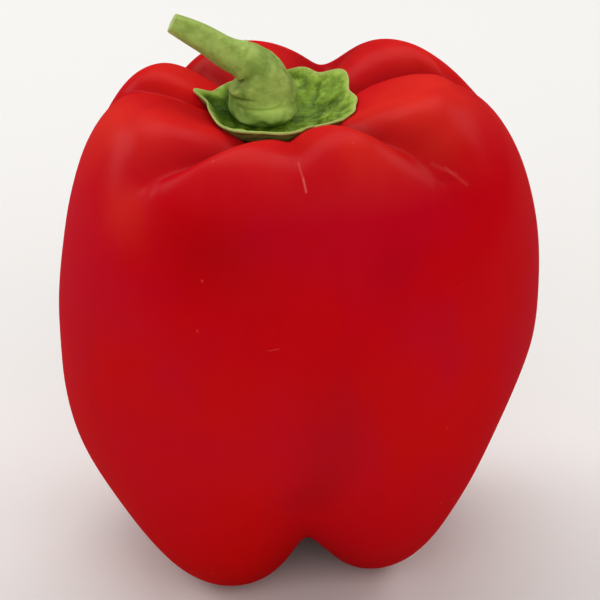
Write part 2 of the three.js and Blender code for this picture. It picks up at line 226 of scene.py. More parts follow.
# Points of each mesh round the axis and along the profile, and the relief of its surface
FRUIT_POINTS = (400, 240)
CALYX_POINTS = (420, 150)
STEM_POINTS = (160, 260)
FRUIT_RELIEF = {
    "Swell size": 24 * MM, "Swell height": 0.5 * MM, "Wrinkle size": 6 * MM, "Wrinkle height": 0.4 * MM,
    "Seed": 3.0,
}
CALYX_RELIEF = {
    "Swell size": 5.5 * MM, "Swell height": 0.5 * MM, "Wrinkle size": 8 * MM, "Wrinkle height": 0.45 * MM,
    "Seed": 1.0,
}
STEM_RELIEF = {
    "Swell size": 7 * MM, "Swell height": 0.4 * MM, "Wrinkle size": 8 * MM, "Wrinkle height": 0.25 * MM,
    "Seed": 2.0,
}
# Noise behind the relief: its detail for swells and wrinkles, its middle value, and how far from the middle
# it may be and still make a wrinkle
SWELL_DETAIL, WRINKLE_DETAIL = 1.0, 2.0
NOISE_MIDDLE, WRINKLE_SPREAD = 0.5, 1 / 9

# Reds of the skin, with a paler red for painted sheen and a deeper red for painted shade and darker blotches
LOW_RED, HIGH_RED, CRIMSON = "#b80000", "#b8010c", "#b40118"
SHEEN_RED, SHADE_AND_BLOTCH_RED, STREAK_RED = "#cd2c1f", "#820005", "#a30106"
PORE_RED, SCRATCH_AND_GLINT_RED = "#e2593c", "#d8605a"
# Sizes of the skin's patterns, how far apart its pores are, and how its streaks are drawn out in z
PATCH_SIZE, CLOUD_SIZE, STREAK_SIZE, WAX_SIZE = 24 * MM, 16 * MM, 4.5 * MM, 12 * MM
PORE_SPACING = 8 * MM
STREAK_STRETCH = (1, 1, 0.12)
# Ramps of the skin, as inputs of a Map Range node: from height, noise or a share of the pore spacing
HIGH_RED_BY_HEIGHT = {"From Min": 25 * MM, "From Max": 70 * MM}
CRIMSON_BY_HEIGHT = {"From Min": 10 * MM, "From Max": 60 * MM, "To Min": 0.25}
CRIMSON_BY_NOISE = {"From Min": 0.4, "From Max": 0.6}
SHEEN_BY_HEIGHT = {"From Min": 79 * MM, "From Max": 93 * MM, "To Max": 0.9}
SHEEN_BY_NOISE = {"From Min": 0.3, "From Max": 0.65, "To Min": 0.15, "To Max": 0.8}
STREAK_BY_NOISE = {"From Min": 0.45, "From Max": 0.8, "To Max": 0.15}
PORE_BY_DISTANCE = {"From Min": 0.02, "From Max": 0.05, "To Min": 0.25, "To Max": 0.0}
SKIN_ROUGHNESS = {"From Min": 0.3, "From Max": 0.7, "To Min": 0.36, "To Max": 0.46}

# Greens of the stalk, how much painted shade shows in each crease and how much mottling shows, and how rough
# its grain is
CALYX_GREEN = dict(ground="#728f24", fresh="#84a132", deep="#304c04", bright="#aac556",
                   creases=0.75, mottling=0.5, grain=0.7)
STEM_GREEN = dict(ground="#91a64e", fresh="#9db25a", deep="#54701f", bright="#b4cd68",
                  creases=0.6, mottling=0.2, grain=0.5)
DRIED_EDGE_GREEN = "#aab66c"
FRESH_SIZE, MOTTLE_SIZE, FIBRE_SIZE = 4 * MM, 2.2 * MM, 1.2 * MM
# Ramps of the stalk, from noise, the depth of a crease or how fresh a patch is
FRESH_BY_NOISE = {"From Min": 0.35, "From Max": 0.7}
FIBRE_BY_NOISE = {"From Min": 0.4, "From Max": 0.75, "To Max": 0.3}
MOTTLE_BY_NOISE = {"From Min": 0.3, "From Max": 0.7}
CREASE_SHADE_BY_DEPTH = {"From Min": 0.2, "From Max": 1.0}
STALK_ROUGHNESS = {"To Min": 0.55, "To Max": 0.68}
# Size of the finest grain of skin and stalk
GRAIN_SIZE = 1.1 * MM
# Sockets of a Mix node that blends colours
MIX_FACTOR, MIX_BELOW, MIX_ABOVE, MIX_RESULT = 0, 6, 7, 2

# The camera looks from the front, this many degrees above the horizon, as the photograph does
CAMERA_ELEVATION = 26
CAMERA_DISTANCE = 0.70
CAMERA_TARGET = Vector((0.0001, -0.0004, 0.0494))
SENSOR_WIDTH = 36.0
# The photograph's width in pixels, and the size of one at the target, so that the render fits over it
PHOTO_PIXELS, PIXEL_SIZE = 600, 0.1883 * MM

# The softbox and the panels are above and behind, where the shoulders mirror them. The fill from the front
# is kept out of reflections, because the photograph shows hardly any sheen low on the front.
LIGHTS = [
    dict(name="overhead_softbox", place=(-0.1, 0.55, 1.08), size=(1.1, 0.8), watts=8.4, mirrored=True),
    dict(name="left_panel", place=(-0.86, 0.35, 0.66), size=(0.6, 0.5), watts=4.4, mirrored=True),
    dict(name="right_panel", place=(0.78, 0.38, 0.74), size=(0.6, 0.5), watts=3.2, mirrored=True),
    dict(name="front_fill", place=(0.1, -1.35, 0.85), size=(2.4, 1.2), watts=17.2, mirrored=False),
]
LIGHTS_AIM = Vector((0, 0, 0.05))
ROOM_COLOR, ROOM_STRENGTH = "#f4f4f4", 0.3
FLOOR_COLOR, FLOOR_HALF_SIZE = "#dad8d5", 3.0


def ease(share):
    return share * share * (3 - 2 * share)


def mix(start, end, share):
    return start + (end - start) * share


def share_between(value, start, end):
    return np.clip((value - start) / (end - start), 0, 1)


def rise(value, start, end):
    """Smoothly 0 to 1 as a value goes from start to end."""
    return ease(share_between(value, start, end))


def turn_between(azimuth, other):
    return (azimuth - other + math.pi) % (2 * math.pi) - math.pi


def turn_share(azimuth, row):
    """How far off a row's azimuth lies, in half widths of the row."""
    return turn_between(azimuth, math.radians(row["azimuth"])) / math.radians(row["half_width"])


def soft_mark(azimuth, along, mark):
    """1 in the middle of a mark, fading out over its half width round the axis and its length along."""
    return np.exp(-turn_share(azimuth, mark) ** 2 - ((along - mark["along"]) / mark["length"]) ** 2)


def sum_marks(azimuth, along, marks):
    """Strength of soft-edged marks on the skin."""
    return np.minimum(sum(mark["strength"] * soft_mark(azimuth, along, mark) for mark in marks), 1)


def blend_around(azimuth, rows, key, focus):
    """A property of rows placed round the axis, blended from each to the next."""
    weights = [np.exp(focus * (np.cos(azimuth - math.radians(row["azimuth"])) - 1)) for row in rows]
    total = sum(weight * row[key] for weight, row in zip(weights, rows))
    return total / sum(weights)


def valley(azimuth, centre, row, softness):
    """Share of a fold's depth: sharp at its bottom, easing out over its width to each side."""
    turn = turn_between(azimuth, np.radians(centre))
    half_width = np.radians(np.where(turn < 0, row["left"], row["right"]))
    distance = np.minimum(1, np.hypot(turn / half_width, softness))
    return (1 - distance) ** 2 / (1 + FOLD_SHARPNESS * distance)


def shoulder_depth(azimuth, along):
    """Depth of the shoulder folds, which open and flatten as they run down the side."""
    softness = FOLD_SOFTNESS + FOLD_OPENING * share_between(along, CREST_AT, GIRTH_AT)
    deepens = rise(along, 0, CREST_AT)
    total = np.zeros_like(azimuth)
    for fold in SHOULDER_FOLDS:
        centre = mix(fold["start"], fold["end"], share_between(along, FOLD_START, fold["turned"]))
        fades = 1 - rise(along, CREST_AT, fold["runs_out"])
        total += fold["depth"] * deepens * fades * valley(azimuth, centre, fold, softness)
    return total


def sum_valleys(azimuth, key, softness):
    return sum(row[key] * valley(azimuth, row["azimuth"], row, softness) for row in FOOT_VALLEYS)


def hollow_depth(azimuth, along):
    """Depth of the hollows in the side, above the notches between the feet."""
    deepens = rise(along, HOLLOW_START, HOLLOW_FULL)
    fades = 1 - rise(along, HOLLOW_FADE, HOLLOW_END)
    return deepens * fades * sum_valleys(azimuth, "hollow", HOLLOW_SOFTNESS)


def fruit_surface(azimuth, along):
    """Points of the fruit from the pit at 0 over shoulder, girth and foot to the dimple at 1."""
    crest_radius = blend_around(azimuth, LOBES, "crest_radius", LOBE_FOCUS)
    crest_height = blend_around(azimuth, LOBES, "crest_height", LOBE_FOCUS)
    girth_radius = blend_around(azimuth, LOBES, "girth_radius", LOBE_FOCUS)
    girth_height = blend_around(azimuth, LOBES, "girth_height", LOBE_FOCUS)
    foot_radius = blend_around(azimuth, FEET, "radius", FEET_FOCUS)
    notch_softness = NOTCH_SOFTNESS + DIMPLE_SOFTNESS * share_between(along, FOOT_AT, 1)
    foot_height = sum_valleys(azimuth, "notch", notch_softness) - FOOT_SINK

    pit_share = share_between(along, 0, CREST_AT)
    upper = share_between(along, CREST_AT, GIRTH_AT) * math.pi / 2
    lower = share_between(along, GIRTH_AT, FOOT_AT) * math.pi / 2
    boxy_power = 2 / blend_around(azimuth, LOBES, "boxy", LOBE_FOCUS)
    power = mix(1, boxy_power, rise(lower, 0, GIRTH_ROUNDING))
    dimple_share = 1 - share_between(along, FOOT_AT, 1)
    bands = [along <= CREST_AT, along <= GIRTH_AT, along <= FOOT_AT]
    radius = np.select(bands, [
        crest_radius * pit_share,
        mix(crest_radius, girth_radius, np.sin(upper)),
        mix(foot_radius, girth_radius, np.maximum(0, np.cos(lower)) ** power),
    ], foot_radius * dimple_share)
    height = np.select(bands, [
        mix(PIT_HEIGHT, crest_height, ease(pit_share)),
        mix(girth_height, crest_height, np.cos(upper)),
        mix(girth_height, foot_height, np.sin(lower) ** power),
    ], mix(DIMPLE_HEIGHT, foot_height, ease(dimple_share)))

    fold_depth = shoulder_depth(azimuth, along)
    radius = radius - fold_depth * np.sin(upper) - hollow_depth(azimuth, along)
    height = height - fold_depth * np.cos(upper)

    lean = np.clip(height / SHOULDER_LEVEL, 0, 1)
    x = mix(AXIS_AT_FEET[0], AXIS_AT_SHOULDERS[0], lean) + radius * np.sin(azimuth)
    y = mix(AXIS_AT_FEET[1], AXIS_AT_SHOULDERS[1], lean) - radius * np.cos(azimuth)
    return np.stack([x, y, np.maximum(0, height)], -1)


def sum_teeth(azimuth, key):
    return sum(tooth[key] * np.exp(-turn_share(azimuth, tooth) ** 2) for tooth in TEETH)


def fruit_skin(azimuth, along):
    """The fruit's surface with the part that the calyx hides sunk out of its way."""
    points = fruit_surface(azimuth, along)
    radius = blend_around(azimuth, LOBES, "crest_radius", LOBE_FOCUS) * along / CREST_AT
    outwards = radius / (CALYX_RADIUS + sum_teeth(azimuth, "reach"))
    points[..., 2] -= HIDDEN_SINK * (1 - rise(outwards, HIDDEN_WITHIN, HIDDEN_UNTIL))
    return points


def pucker_height(azimuth, outwards):
    """Height of the dish's puckers, which swell and fade again on the way out to the rim."""
    total = np.zeros_like(azimuth)
    for row in PUCKERS:
        swelling = np.sin(math.pi * share_between(outwards, row["start"], 1))
        sway = sum(width * np.sin(count * azimuth + turn * outwards) for width, count, turn in row["sways"])
        total += row["height"] * swelling * np.cos(row["count"] * azimuth + sway)
    return total


def calyx_surface(azimuth, along):
    """Points of the calyx from its top centre, round the rim and back under."""
    on_top = along <= CALYX_TOP_END
    on_rim = ~on_top & (along < CALYX_UNDERSIDE_START)
    outwards = np.select(
        [on_top, on_rim],
        [along / CALYX_TOP_END, np.ones_like(along)],
        (1 - along) / (1 - CALYX_UNDERSIDE_START),
    )
    around_rim = share_between(along, CALYX_TOP_END, CALYX_UNDERSIDE_START) * math.pi
    overhang = CALYX_RIM_ROUNDING * np.sin(around_rim)
    lift = (1 + np.cos(around_rim)) / 2

    rim_radius = CALYX_RADIUS + sum_teeth(azimuth, "reach")
    rim_height = CALYX_RIM_HEIGHT + sum_teeth(azimuth, "curl")
    crest_radius = blend_around(azimuth, LOBES, "crest_radius", LOBE_FOCUS)
    radius = rim_radius * outwards + overhang
    below = fruit_surface(azimuth, CREST_AT * radius / crest_radius)
    bowl = mix(CALYX_FLOOR_HEIGHT, rim_height, outwards ** CALYX_BOWL_POWER)
    underside = np.maximum(bowl, below[..., 2] + SEAT_GAP)
    centre_share = 1 - rise(outwards, 0, CALYX_THICK_SHARE)
    thickness = mix(CALYX_RIM_THICKNESS, CALYX_CENTRE_THICKNESS, centre_share)
    sink = HIDDEN_UNDERSIDE * (1 - lift) * share_between(outwards, 1, UNDERSIDE_SUNK_WITHIN)
    height = underside + lift * (thickness + pucker_height(azimuth, outwards)) - sink
    return np.stack([below[..., 0], below[..., 1], height], -1)


def along_stem(share):
    """Smooth curve through the stem sections."""
    rows = np.array(STEM_SECTIONS)
    last = len(rows) - 1
    place = np.clip(share, 0, 1) * last
    index = np.minimum(place.astype(int), last - 1)
    step = (place - index)[..., None]
    before, start, end, after = [rows[np.clip(index + offset, 0, last)] for offset in (-1, 0, 1, 2)]
    bend = 2 * before - 5 * start + 4 * end - after
    twist = 3 * start - before - 3 * end + after
    return 0.5 * (2 * start + (end - before) * step + bend * step ** 2 + twist * step ** 3)


def stem_surface(azimuth, along):
    """Points of the stem from the middle of the cut end, down the side and in under the base."""
    on_cut = along < STEM_CAP_SHARE
    on_base = along > 1 - STEM_CAP_SHARE
    share = np.select([on_cut, on_base], [np.ones_like(along), np.zeros_like(along)],
                      1 - (along - STEM_CAP_SHARE) / (1 - 2 * STEM_CAP_SHARE))
    edge = STEM_EDGE_SCALE / STEM_CAP_SHARE
    scale = np.select([on_cut, on_base], [along * edge, (1 - along) * edge], 1.0)
    inner_x, inner_z, outer_x, outer_z, y, half_depth = np.moveaxis(along_stem(share), -1, 0)
    ribs = STEM_RIB_HEIGHT * np.cos(STEM_RIB_COUNT * azimuth + STEM_RIB_TURN) * (along < STEM_RIB_END)
    folds = sum(fold["height"] * soft_mark(azimuth, along, fold) for fold in STEM_FOLDS)
    scale = scale * (1 + (ribs + folds) / half_depth)
    across = scale * np.sin(azimuth)
    x = (inner_x + outer_x) / 2 + (outer_x - inner_x) / 2 * across
    z = (inner_z + outer_z) / 2 + (outer_z - inner_z) / 2 * across
    return np.stack([x, y - half_depth * scale * np.cos(azimuth), z], -1)


def closed_mesh(name, surface, counts, masks):
    """A closed mesh over a surface function, with one point at each pole and masks on its points."""
    around, along = counts
    azimuth, share = np.meshgrid(
        np.arange(around) * 2 * math.pi / around,
        np.arange(1, along) / along,
    )
    rings = surface(azimuth, share).reshape(-1, 3)
    poles = surface(np.zeros(2), np.array([0.0, 1.0]))
    points = np.vstack([rings, poles])

    ring_count = along - 1
    index = np.arange(ring_count * around).reshape(ring_count, around)
    after = np.roll(index, -1, axis=1)
    quads = np.stack([index[:-1], index[1:], after[1:], after[:-1]], -1).reshape(-1, 4)
    first, last = len(rings), len(rings) + 1
    top = np.stack([index[0], after[0], np.full(around, first)], -1)[:, ::-1]
    bottom = np.stack([index[-1], after[-1], np.full(around, last)], -1)

    mesh = bpy.data.meshes.new(name)
    mesh.from_pydata((points * MM).tolist(), [], quads.tolist() + top.tolist() + bottom.tolist())
    all_azimuth = np.append(azimuth.ravel(), [0, 0])
    all_share = np.append(share.ravel(), [0, 1])
    for mask_name, mask in masks.items():
        layer = mesh.attributes.new(mask_name, "FLOAT", "POINT")
        layer.data.foreach_set("value", mask(all_azimuth, all_share, points).astype(np.float32))
    piece = bpy.data.objects.new(name, mesh)
    bpy.context.scene.collection.objects.link(piece)
    return piece


def add_node(tree, kind, settings=None, links=None):
    """A node with its settings, and its inputs given as values or as sockets to link from."""
    node = tree.nodes.new(kind)
    for key, value in (settings or {}).items():
        setattr(node, key, value)
    for key, value in (links or {}).items():
        if isinstance(value, bpy.types.NodeSocket):
            tree.links.new(value, node.inputs[key])
        else:
            node.inputs[key].default_value = value
    return node


def relief_tree():
    """Swells and wrinkles along the normal, each held back where its own mask is low."""
    tree = bpy.data.node_groups.new("surface_relief", "GeometryNodeTree")
    tree.interface.new_socket("Geometry", in_out="OUTPUT", socket_type="NodeSocketGeometry")
    tree.interface.new_socket("Geometry", in_out="INPUT", socket_type="NodeSocketGeometry")
    for name in ("Swell size", "Swell height", "Wrinkle size", "Wrinkle height", "Seed"):
        tree.interface.new_socket(name, in_out="INPUT", socket_type="NodeSocketFloat")
    tree.interface.new_socket("Material", in_out="INPUT", socket_type="NodeSocketMaterial")
    given = add_node(tree, "NodeGroupInput").outputs
    place = add_node(tree, "GeometryNodeInputPosition").outputs[0]
    normal = add_node(tree, "GeometryNodeInputNormal").outputs[0]

    def uneven(size, detail):
        scale = add_node(tree, "ShaderNodeMath", {"operation": "DIVIDE"}, {0: 1.0, 1: size}).outputs[0]
        return add_node(tree, "ShaderNodeTexNoise", {"noise_dimensions": "4D"}, {
            "Vector": place, "W": given["Seed"], "Scale": scale, "Detail": detail}).outputs[0]

    def held_back(shape, mask_name):
        mask = add_node(tree, "GeometryNodeInputNamedAttribute", {"data_type": "FLOAT"}, {
            "Name": mask_name}).outputs[0]
        return add_node(tree, "ShaderNodeMath", {"operation": "MULTIPLY"}, {0: shape, 1: mask}).outputs[0]

    swelling = add_node(tree, "ShaderNodeMapRange", links={
        "Value": uneven(given["Swell size"], SWELL_DETAIL), "To Min": -1.0, "To Max": 1.0}).outputs[0]
    swell = add_node(tree, "ShaderNodeMath", {"operation": "MULTIPLY"}, {
        0: held_back(swelling, "swells"), 1: given["Swell height"]}).outputs[0]
    off_middle = add_node(tree, "ShaderNodeMath", {"operation": "SUBTRACT"}, {
        0: uneven(given["Wrinkle size"], WRINKLE_DETAIL), 1: NOISE_MIDDLE}).outputs[0]
    distance = add_node(tree, "ShaderNodeMath", {"operation": "ABSOLUTE"}, {0: off_middle}).outputs[0]
    sharp_line = add_node(tree, "ShaderNodeMapRange", links={
        "Value": distance, "From Max": WRINKLE_SPREAD, "To Min": 1.0, "To Max": 0.0}).outputs[0]
    crease = held_back(sharp_line, "wrinkles")
    wrinkle = add_node(tree, "ShaderNodeMath", {"operation": "MULTIPLY"}, {
        0: crease, 1: given["Wrinkle height"]}).outputs[0]
    push = add_node(tree, "ShaderNodeMath", {"operation": "SUBTRACT"}, {0: swell, 1: wrinkle}).outputs[0]
    offset = add_node(tree, "ShaderNodeVectorMath", {"operation": "SCALE"}, {
        0: normal, "Scale": push}).outputs[0]
    moved = add_node(tree, "GeometryNodeSetPosition", links={"Geometry": given["Geometry"], "Offset": offset})
    stored = add_node(tree, "GeometryNodeStoreNamedAttribute", {"data_type": "FLOAT", "domain": "POINT"}, {
        "Geometry": moved.outputs[0], "Name": "crease", "Value": crease})
    smooth = add_node(tree, "GeometryNodeSetShadeSmooth", links={"Geometry": stored.outputs[0]})
    real = add_node(tree, "GeometryNodeRealizeInstances", links={"Geometry": smooth.outputs[0]})
    painted = add_node(tree, "GeometryNodeSetMaterial", links={
        "Geometry": real.outputs[0], "Material": given["Material"]})
    add_node(tree, "NodeGroupOutput", links={"Geometry": painted.outputs[0]})
    return tree


def finish_surface(piece, tree, settings):
    """Runs the relief tree on a piece and keeps the result as its plain mesh."""
    modifier = piece.modifiers.new("relief", "NODES")
    modifier.node_group = tree
    for item in tree.interface.items_tree:
        if item.in_out == "INPUT" and item.name in settings:
            modifier[item.identifier] = settings[item.name]
    graph = bpy.context.evaluated_depsgraph_get()
    finished = bpy.data.meshes.new_from_object(piece.evaluated_get(graph))
    piece.modifiers.clear()
    piece.data = finished
    finished.name = piece.name


def linear(hex_color):
    """An sRGB hex colour as the linear colour that shaders take."""
    channels = [int(hex_color[i:i + 2], 16) / 255 for i in (1, 3, 5)]
    return tuple(c / 12.92 if c <= 0.04045 else ((c + 0.055) / 1.055) ** 2.4 for c in channels) + (1.0,)


def new_material(name):
    material = bpy.data.materials.new(name)
    material.use_nodes = True
    return material, material.node_tree, material.node_tree.nodes["Principled BSDF"]


def paint_over(tree, ground, layers):
    """Lays colours over the ground in turn, each where its own factor is high."""
    color = linear(ground)
    for factor, hex_color in layers:
        color = add_node(tree, "ShaderNodeMix", {"data_type": "RGBA"}, {
            MIX_FACTOR: factor, MIX_BELOW: color, MIX_ABOVE: linear(hex_color)}).outputs[MIX_RESULT]
    return color


def pattern(tree, size, detail=2.0, stretch=(1, 1, 1), roughness=0.5):
    """Noise with patches about size across, in metres, stretched along the piece's own axes."""
    place = add_node(tree, "ShaderNodeTexCoord").outputs["Object"]
    laid = add_node(tree, "ShaderNodeMapping", links={"Vector": place, "Scale": stretch}).outputs[0]
    return add_node(tree, "ShaderNodeTexNoise", links={
        "Vector": laid, "Scale": 1 / size, "Detail": detail, "Roughness": roughness}).outputs[0]


def ripeness_and_sheen_layers(tree, height):
    """A cooler red higher up, crimson in patches that fade towards the feet, and a painted sheen that pales
    the shoulders.
    """
    higher = add_node(tree, "ShaderNodeMapRange", links={"Value": height, **HIGH_RED_BY_HEIGHT}).outputs[0]
    above_feet = add_node(tree, "ShaderNodeMapRange", links={"Value": height, **CRIMSON_BY_HEIGHT}).outputs[0]
    patches = add_node(tree, "ShaderNodeMapRange", links={
        "Value": pattern(tree, PATCH_SIZE), **CRIMSON_BY_NOISE}).outputs[0]
    riper = add_node(tree, "ShaderNodeMath", {"operation": "MULTIPLY"}, {
        0: patches, 1: above_feet}).outputs[0]
    # Painted sheen: a paler red high on the shoulders, in clouds and in listed patches
    shoulder = add_node(tree, "ShaderNodeMapRange", links={"Value": height, **SHEEN_BY_HEIGHT}).outputs[0]
    clouds = add_node(tree, "ShaderNodeMapRange", links={
        "Value": pattern(tree, CLOUD_SIZE), **SHEEN_BY_NOISE}).outputs[0]
    clouded = add_node(tree, "ShaderNodeMath", {"operation": "MULTIPLY"}, {0: shoulder, 1: clouds}).outputs[0]
    marked = add_node(tree, "ShaderNodeAttribute", {"attribute_name": "painted_sheen"}).outputs["Fac"]
    painted_sheen = add_node(tree, "ShaderNodeMath", {"operation": "MAXIMUM"}, {0: clouded, 1: marked}).outputs[0]
    return [(higher, HIGH_RED), (riper, CRIMSON), (painted_sheen, SHEEN_RED)]


def fine_layers(tree, place):
    """Faint streaks that run down the sides, and pale pores."""
    streaks = add_node(tree, "ShaderNodeMapRange", links={
        "Value": pattern(tree, STREAK_SIZE, stretch=STREAK_STRETCH), **STREAK_BY_NOISE}).outputs[0]
    nearest_pore = add_node(tree, "ShaderNodeTexVoronoi", {"feature": "F1"}, {
        "Vector": place, "Scale": 1 / PORE_SPACING}).outputs["Distance"]
    pores = add_node(tree, "ShaderNodeMapRange", links={"Value": nearest_pore, **PORE_BY_DISTANCE}).outputs[0]
    return [(streaks, STREAK_RED), (pores, PORE_RED)]


def pale_line_layer(tree, place, pale_line):
    """A thin line between two points on the skin, hardly minding how deep they lie."""
    start, end = [
        Vector(fruit_surface(np.radians([azimuth]), np.array([along]))[0] * MM)
        for azimuth, along in (pale_line["start"], pale_line["end"])
    ]
    flat = Vector((1, LINE_DEPTH_SHARE, 1))
    run = (end - start) * flat
    from_start = add_node(tree, "ShaderNodeVectorMath", {"operation": "SUBTRACT"}, {
        0: place, 1: start}).outputs[0]
    offset = add_node(tree, "ShaderNodeVectorMath", {"operation": "MULTIPLY"}, {
        0: from_start, 1: flat}).outputs[0]
    progress = add_node(tree, "ShaderNodeVectorMath", {"operation": "DOT_PRODUCT"}, {
        0: offset, 1: run / run.length_squared}).outputs["Value"]
    held = add_node(tree, "ShaderNodeClamp", links={"Value": progress}).outputs[0]
    nearest = add_node(tree, "ShaderNodeVectorMath", {"operation": "SCALE"}, {
        0: run, "Scale": held}).outputs[0]
    gap = add_node(tree, "ShaderNodeVectorMath", {"operation": "DISTANCE"}, {
        0: offset, 1: nearest}).outputs["Value"]
    half_width = pale_line["half_width"] * MM
    line = add_node(tree, "ShaderNodeMapRange", links={
        "Value": gap, "From Min": LINE_CORE * half_width, "From Max": half_width,
        "To Min": pale_line["strength"], "To Max": 0.0}).outputs[0]
    return line, SCRATCH_AND_GLINT_RED


def pepper_skin():
    """Ripe sweet-pepper skin, grown: a thin clear cuticle over wet red flesh. To the eye it is a deep
    saturated red with a soft waxy sheen, faint blotches, a few pale pores and a couple of healed scratches.
    Painted sheen pales its shoulders, painted shade deepens its folds and valleys, and painted glints run
    along crinkles."""
    material, tree, shader = new_material("grown_pepper_skin")
    place = add_node(tree, "ShaderNodeTexCoord").outputs["Object"]
    height = add_node(tree, "ShaderNodeSeparateXYZ", links={0: place}).outputs["Z"]
    # Painted shade in folds and valleys, together with the darker patches
    shade_and_blotches = add_node(tree, "ShaderNodeAttribute", {"attribute_name": "shade_and_blotches"}).outputs["Fac"]
    layers = ripeness_and_sheen_layers(tree, height) + [(shade_and_blotches, SHADE_AND_BLOTCH_RED)] + fine_layers(tree, place)
    # Healed scratches, and painted glints along the crinkles
    layers += [pale_line_layer(tree, place, pale_line) for pale_line in SCRATCHES_AND_GLINTS]
    tree.links.new(paint_over(tree, LOW_RED, layers), shader.inputs["Base Color"])
    roughness = add_node(tree, "ShaderNodeMapRange", links={
        "Value": pattern(tree, WAX_SIZE, detail=3.0), **SKIN_ROUGHNESS}).outputs[0]
    tree.links.new(roughness, shader.inputs["Roughness"])
    # All reflected sheen is the wax, a thin coat; the shoulders also get painted sheen. Its high IOR keeps it
    # from growing much at the outline.
    shader.inputs["Specular IOR Level"].default_value = 0.0
    shader.inputs["Coat Weight"].default_value = 0.042
    shader.inputs["Coat IOR"].default_value = 2.0
    shader.inputs["Coat Roughness"].default_value = 0.29
    # Red light goes deepest into the flesh
    shader.inputs["Subsurface Weight"].default_value = 0.12
    shader.inputs["Subsurface Radius"].default_value = (1.0, 0.12, 0.06)
    shader.inputs["Subsurface Scale"].default_value = 2 * MM
    bump = add_node(tree, "ShaderNodeBump", links={
        "Height": pattern(tree, GRAIN_SIZE, detail=3.0), "Strength": 0.05, "Distance": 0.4 * MM})
    tree.links.new(bump.outputs[0], shader.inputs["Normal"])
    return material


def green_layers(tree, green, patches):
    """Fresher patches, fibres and painted shade in each crease, then painted light and shade with the
    mottling, and the dried edge.
    """
    crease, painted_shading, edge = [
        add_node(tree, "ShaderNodeAttribute", {"attribute_name": name}).outputs["Fac"]
        for name in ("crease", "painted_shading", "pale_edge")
    ]
    fibres = add_node(tree, "ShaderNodeMapRange", links={
        "Value": pattern(tree, FIBRE_SIZE), **FIBRE_BY_NOISE}).outputs[0]
    # Painted shade, deeper the deeper the crease
    shaded_creases = add_node(tree, "ShaderNodeMapRange", links={
        "Value": crease, **CREASE_SHADE_BY_DEPTH, "To Max": green["creases"]}).outputs[0]
    mottling = add_node(tree, "ShaderNodeMapRange", links={
        "Value": pattern(tree, MOTTLE_SIZE, detail=4.0, roughness=0.6), **MOTTLE_BY_NOISE,
        "To Min": -green["mottling"], "To Max": green["mottling"]}).outputs[0]
    # Painted light and shade from each piece's own mask, added to the mottling
    shading_and_mottling = add_node(tree, "ShaderNodeMath", {"operation": "ADD"}, {0: painted_shading, 1: mottling}).outputs[0]
    deepened = add_node(tree, "ShaderNodeMapRange", links={
        "Value": shading_and_mottling, "From Min": -1.0, "From Max": 0.0, "To Min": 1.0, "To Max": 0.0}).outputs[0]
    brightened = add_node(tree, "ShaderNodeClamp", links={"Value": shading_and_mottling}).outputs[0]
    return [
        (patches, green["fresh"]),
        (fibres, green["deep"]),
        (shaded_creases, green["deep"]),
        (deepened, green["deep"]),
        (brightened, green["bright"]),
        (edge, DRIED_EDGE_GREEN),
    ]


def green_stalk(name, green):
    """Fresh pepper stalk, grown: fleshy green tissue under a matt bloom. To the eye it is a soft
    yellow-green with mottling; each crease gets painted shade, darker and more saturated, and each piece adds
    its own painted light and shade."""
    material, tree, shader = new_material(name)
    patches = add_node(tree, "ShaderNodeMapRange", links={
        "Value": pattern(tree, FRESH_SIZE, detail=3.0), **FRESH_BY_NOISE}).outputs[0]
    color = paint_over(tree, green["ground"], green_layers(tree, green, patches))
    tree.links.new(color, shader.inputs["Base Color"])
    roughness = add_node(tree, "ShaderNodeMapRange", links={"Value": patches, **STALK_ROUGHNESS}).outputs[0]
    tree.links.new(roughness, shader.inputs["Roughness"])
    shader.inputs["IOR"].default_value = 1.4
    shader.inputs["Specular IOR Level"].default_value = 0.18
    shader.inputs["Subsurface Weight"].default_value = 0.1
    shader.inputs["Subsurface Radius"].default_value = (0.5, 1.0, 0.2)
    shader.inputs["Subsurface Scale"].default_value = 1 * MM
    bump = add_node(tree, "ShaderNodeBump", links={
        "Height": pattern(tree, GRAIN_SIZE, detail=4.0), "Strength": green["grain"], "Distance": 0.6 * MM})
    tree.links.new(bump.outputs[0], shader.inputs["Normal"])
    return material


def make_fruit(tree):
    """The red fruit: swells all over, crinkles at the folds, painted shade in folds and valleys, darker
    patches, some of them painted shade, and paler patches of painted sheen.
    """
    def open_skin(azimuth, along, points):
        return share_between(along, *SWELLS_PAST_CALYX) * share_between(points[:, 2], *SWELLS_OFF_GROUND)

    def crinkled(azimuth, along, points):
        return sum_marks(azimuth, along, CRINKLES)

    def darker(azimuth, along, points):
        # Painted shade: deeper red down in folds and valleys, plus the darker patches, some of which are
        # painted shade as well
        depth = np.maximum(hollow_depth(azimuth, along), shoulder_depth(azimuth, along))
        in_valley = VALLEY_SHADE * share_between(depth, 0, VALLEY_FULL_DEPTH)
        return np.minimum(in_valley + sum_marks(azimuth, along, DARK_AND_SHADE_PATCHES), 1)

    def paler(azimuth, along, points):
        # Painted sheen in patches high on the shoulders
        return sum_marks(azimuth, along, SHEEN_PATCHES)

    masks = {"swells": open_skin, "wrinkles": crinkled, "shade_and_blotches": darker, "painted_sheen": paler}
    piece = closed_mesh("pepper_fruit", fruit_skin, FRUIT_POINTS, masks)
    finish_surface(piece, tree, {**FRUIT_RELIEF, "Material": pepper_skin()})
    return piece


